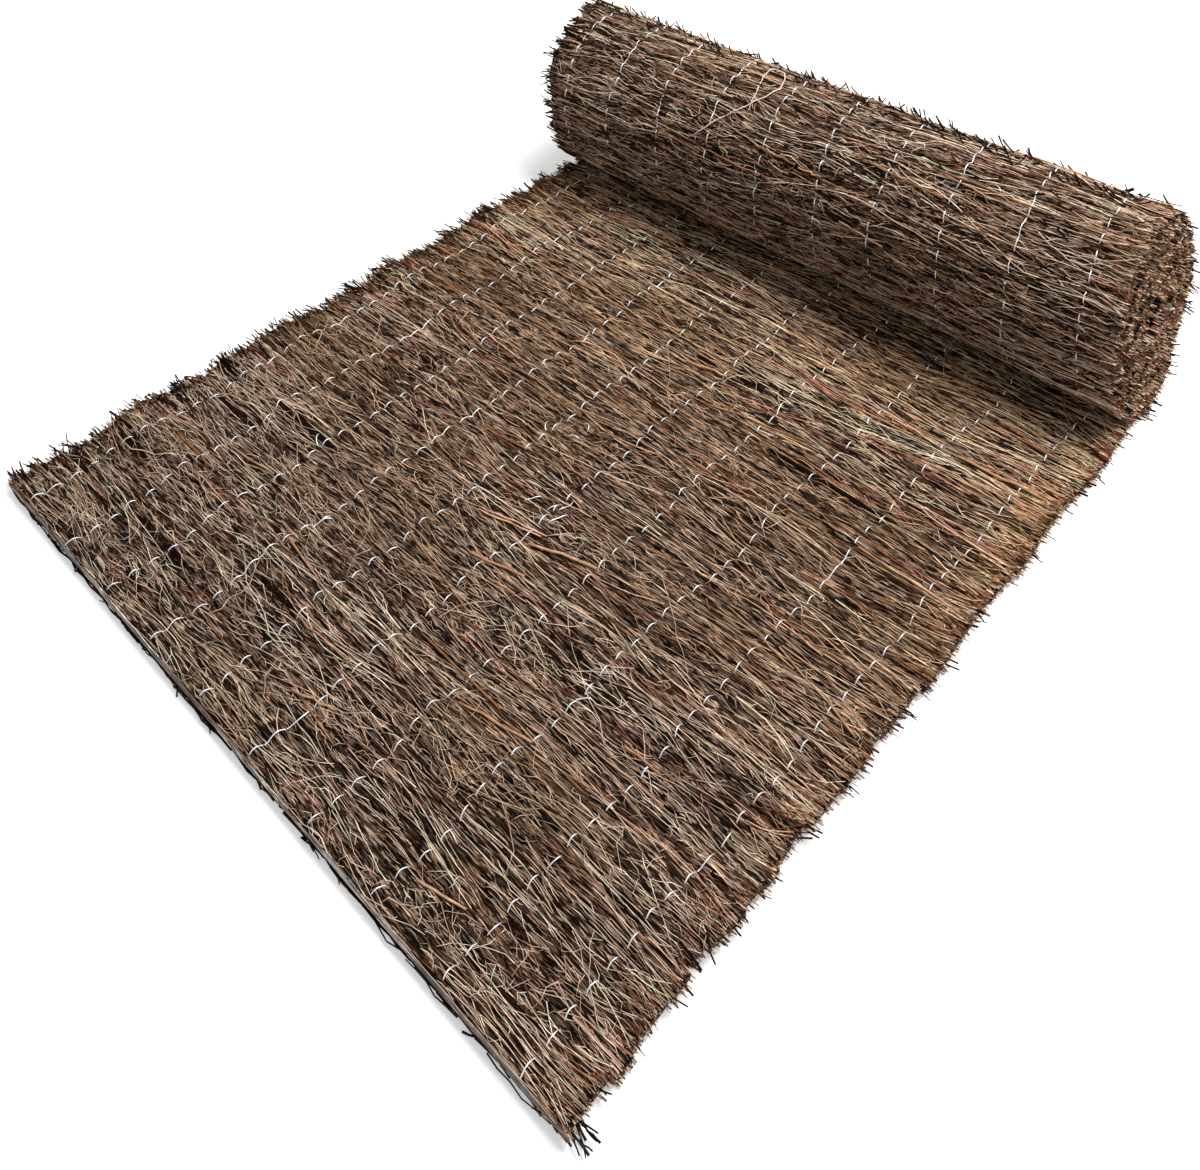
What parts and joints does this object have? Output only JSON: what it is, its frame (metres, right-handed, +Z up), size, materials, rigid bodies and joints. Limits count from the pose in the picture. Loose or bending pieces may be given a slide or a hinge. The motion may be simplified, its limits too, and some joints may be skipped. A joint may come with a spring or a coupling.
{
  "type": "heather screen",
  "caption": "Partly unrolled heather fence screen: fine twigs side by side in bundles, bound by rows of galvanised wire, with the rest of the mat rolled up at one end.",
  "frame": {"origin": "on the floor, under the middle of the whole mat with its roll", "axes": "+X along the mat, from its loose near edge to the roll; +Y along the twigs, to the mat's left edge seen from the near edge; +Z up"},
  "size_m": [1.1946, 1.0214, 0.275],
  "materials": {
    "heather": "rough dark brown bark, dry and matt, with pale cut ends",
    "wire": "thin galvanised binding wire, bright, slightly weathered"
  },
  "bodies": {
    "root": {"heather_mat": "heather", "face_wire_01": "wire", "face_wire_02": "wire", "face_wire_03": "wire", "face_wire_04": "wire", "face_wire_05": "wire", "face_wire_06": "wire", "face_wire_07": "wire", "face_wire_08": "wire", "face_wire_09": "wire", "face_wire_10": "wire", "back_wire_01": "wire", "back_wire_02": "wire", "back_wire_03": "wire", "back_wire_04": "wire", "back_wire_05": "wire", "back_wire_06": "wire", "back_wire_07": "wire", "back_wire_08": "wire", "back_wire_09": "wire", "back_wire_10": "wire"}
  },
  "joints": []
}
